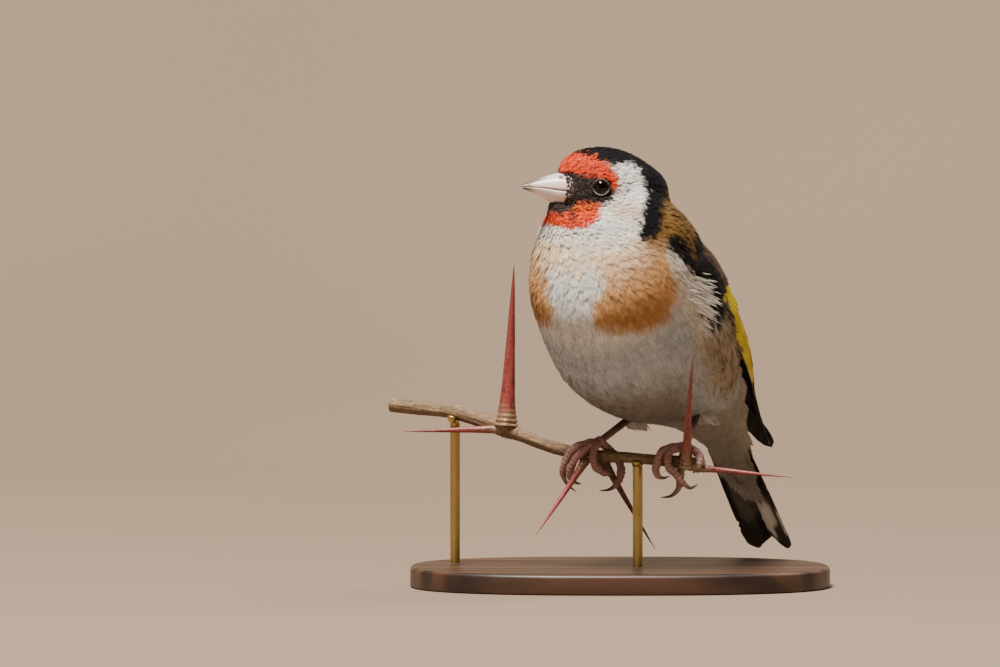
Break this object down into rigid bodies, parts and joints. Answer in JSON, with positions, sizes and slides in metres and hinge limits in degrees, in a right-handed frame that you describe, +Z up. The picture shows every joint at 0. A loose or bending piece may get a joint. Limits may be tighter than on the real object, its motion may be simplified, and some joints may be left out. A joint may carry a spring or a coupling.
{
  "type": "european goldfinch model",
  "caption": "Life-size model of a small finch with a red face and yellow-barred black wings, perched on a cut length of thorny twig over a flat display base",
  "frame": {"origin": "centre of the stand base's underside", "axes": "+Z up; the front view of the picture looks along +Y, with +X to its right"},
  "size_m": [0.0885, 0.0828, 0.088],
  "materials": {
    "feather_head": "feathers: white cheeks, black crown and collar, red face",
    "feather_neck": "feathers: buff brown, white throat",
    "feather_torso": "feathers: brown back, buff breast sides, white belly",
    "feather_tail": "feathers: black with white patches and tips",
    "feather_wings": "feathers: black with a yellow bar and white tips",
    "horn_bill": "pale pinkish ivory horn with a dark tip",
    "eye_dark": "polished dark brown",
    "scaled_skin": "brownish pink scales",
    "twig_bark": "grey brown bark with red thorns",
    "stand_wood": "dark stained wood, satin",
    "stand_brass": "satin brass"
  },
  "bodies": {
    "root": {"head": "feather_head", "neck": "feather_neck", "torso": "feather_torso", "tail": "feather_tail", "wing_left": "feather_wings", "wing_right": "feather_wings", "bill_upper": "horn_bill", "bill_lower": "horn_bill", "eye_left": "eye_dark", "eye_right": "eye_dark", "leg_left": "scaled_skin", "leg_right": "scaled_skin", "foot_left": "scaled_skin", "foot_right": "scaled_skin", "perch": "twig_bark", "stand_base": "stand_wood", "stand_rod_left": "stand_brass", "stand_rod_right": "stand_brass"}
  },
  "joints": []
}
